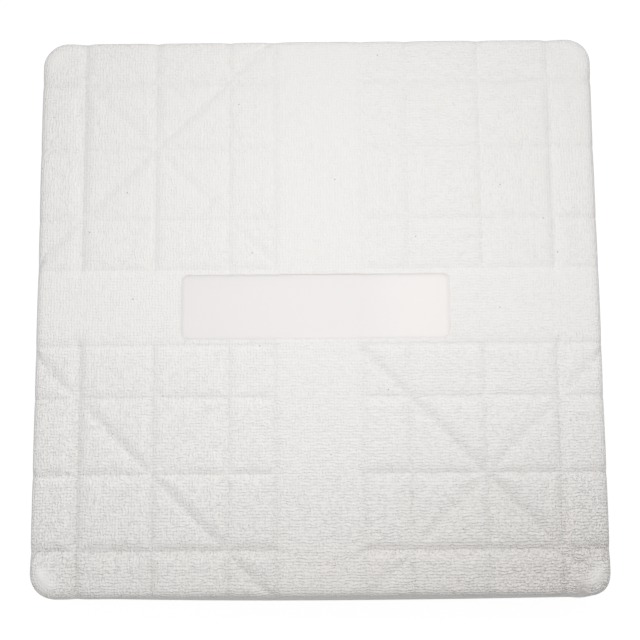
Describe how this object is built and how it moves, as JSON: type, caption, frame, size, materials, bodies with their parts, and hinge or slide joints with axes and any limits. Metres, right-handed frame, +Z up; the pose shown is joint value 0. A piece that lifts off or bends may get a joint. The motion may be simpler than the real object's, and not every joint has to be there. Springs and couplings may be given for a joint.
{
  "type": "baseball base",
  "caption": "Square padded field base with a quilted moulded rubber cover over foam, a rubber sole and a square steel socket underneath for a ground stake.",
  "frame": {"origin": "middle of the underside, on the ground", "axes": "+Z up out of the top, -Y towards the picture's front edge, +X along the long side of the panel"},
  "size_m": [0.381, 0.381, 0.076],
  "materials": {
    "cover_rubber": "white moulded rubber with a woven-cloth grain, smooth on the panel",
    "core_foam": "open-cell polyurethane foam",
    "board_plywood": "sealed birch plywood",
    "sole_rubber": "black pebbled sheet rubber",
    "socket_steel": "mill steel, galvanised",
    "zinc_fastener": "zinc plated"
  },
  "bodies": {
    "root": {"cover": "cover_rubber", "foam_core": "core_foam", "base_board": "board_plywood", "sole": "sole_rubber", "socket_flange": "socket_steel", "socket_tube": "socket_steel", "socket_cap": "socket_steel", "flange_bolt_1": "zinc_fastener", "flange_washer_1": "zinc_fastener", "tee_nut_1": "zinc_fastener", "flange_bolt_2": "zinc_fastener", "flange_washer_2": "zinc_fastener", "tee_nut_2": "zinc_fastener", "flange_bolt_3": "zinc_fastener", "flange_washer_3": "zinc_fastener", "tee_nut_3": "zinc_fastener", "flange_bolt_4": "zinc_fastener", "flange_washer_4": "zinc_fastener", "tee_nut_4": "zinc_fastener", "sole_screw_01": "zinc_fastener", "sole_screw_02": "zinc_fastener", "sole_screw_03": "zinc_fastener", "sole_screw_04": "zinc_fastener", "sole_screw_05": "zinc_fastener", "sole_screw_06": "zinc_fastener", "sole_screw_07": "zinc_fastener", "sole_screw_08": "zinc_fastener", "sole_screw_09": "zinc_fastener", "sole_screw_10": "zinc_fastener", "sole_screw_11": "zinc_fastener", "sole_screw_12": "zinc_fastener"}
  },
  "joints": []
}
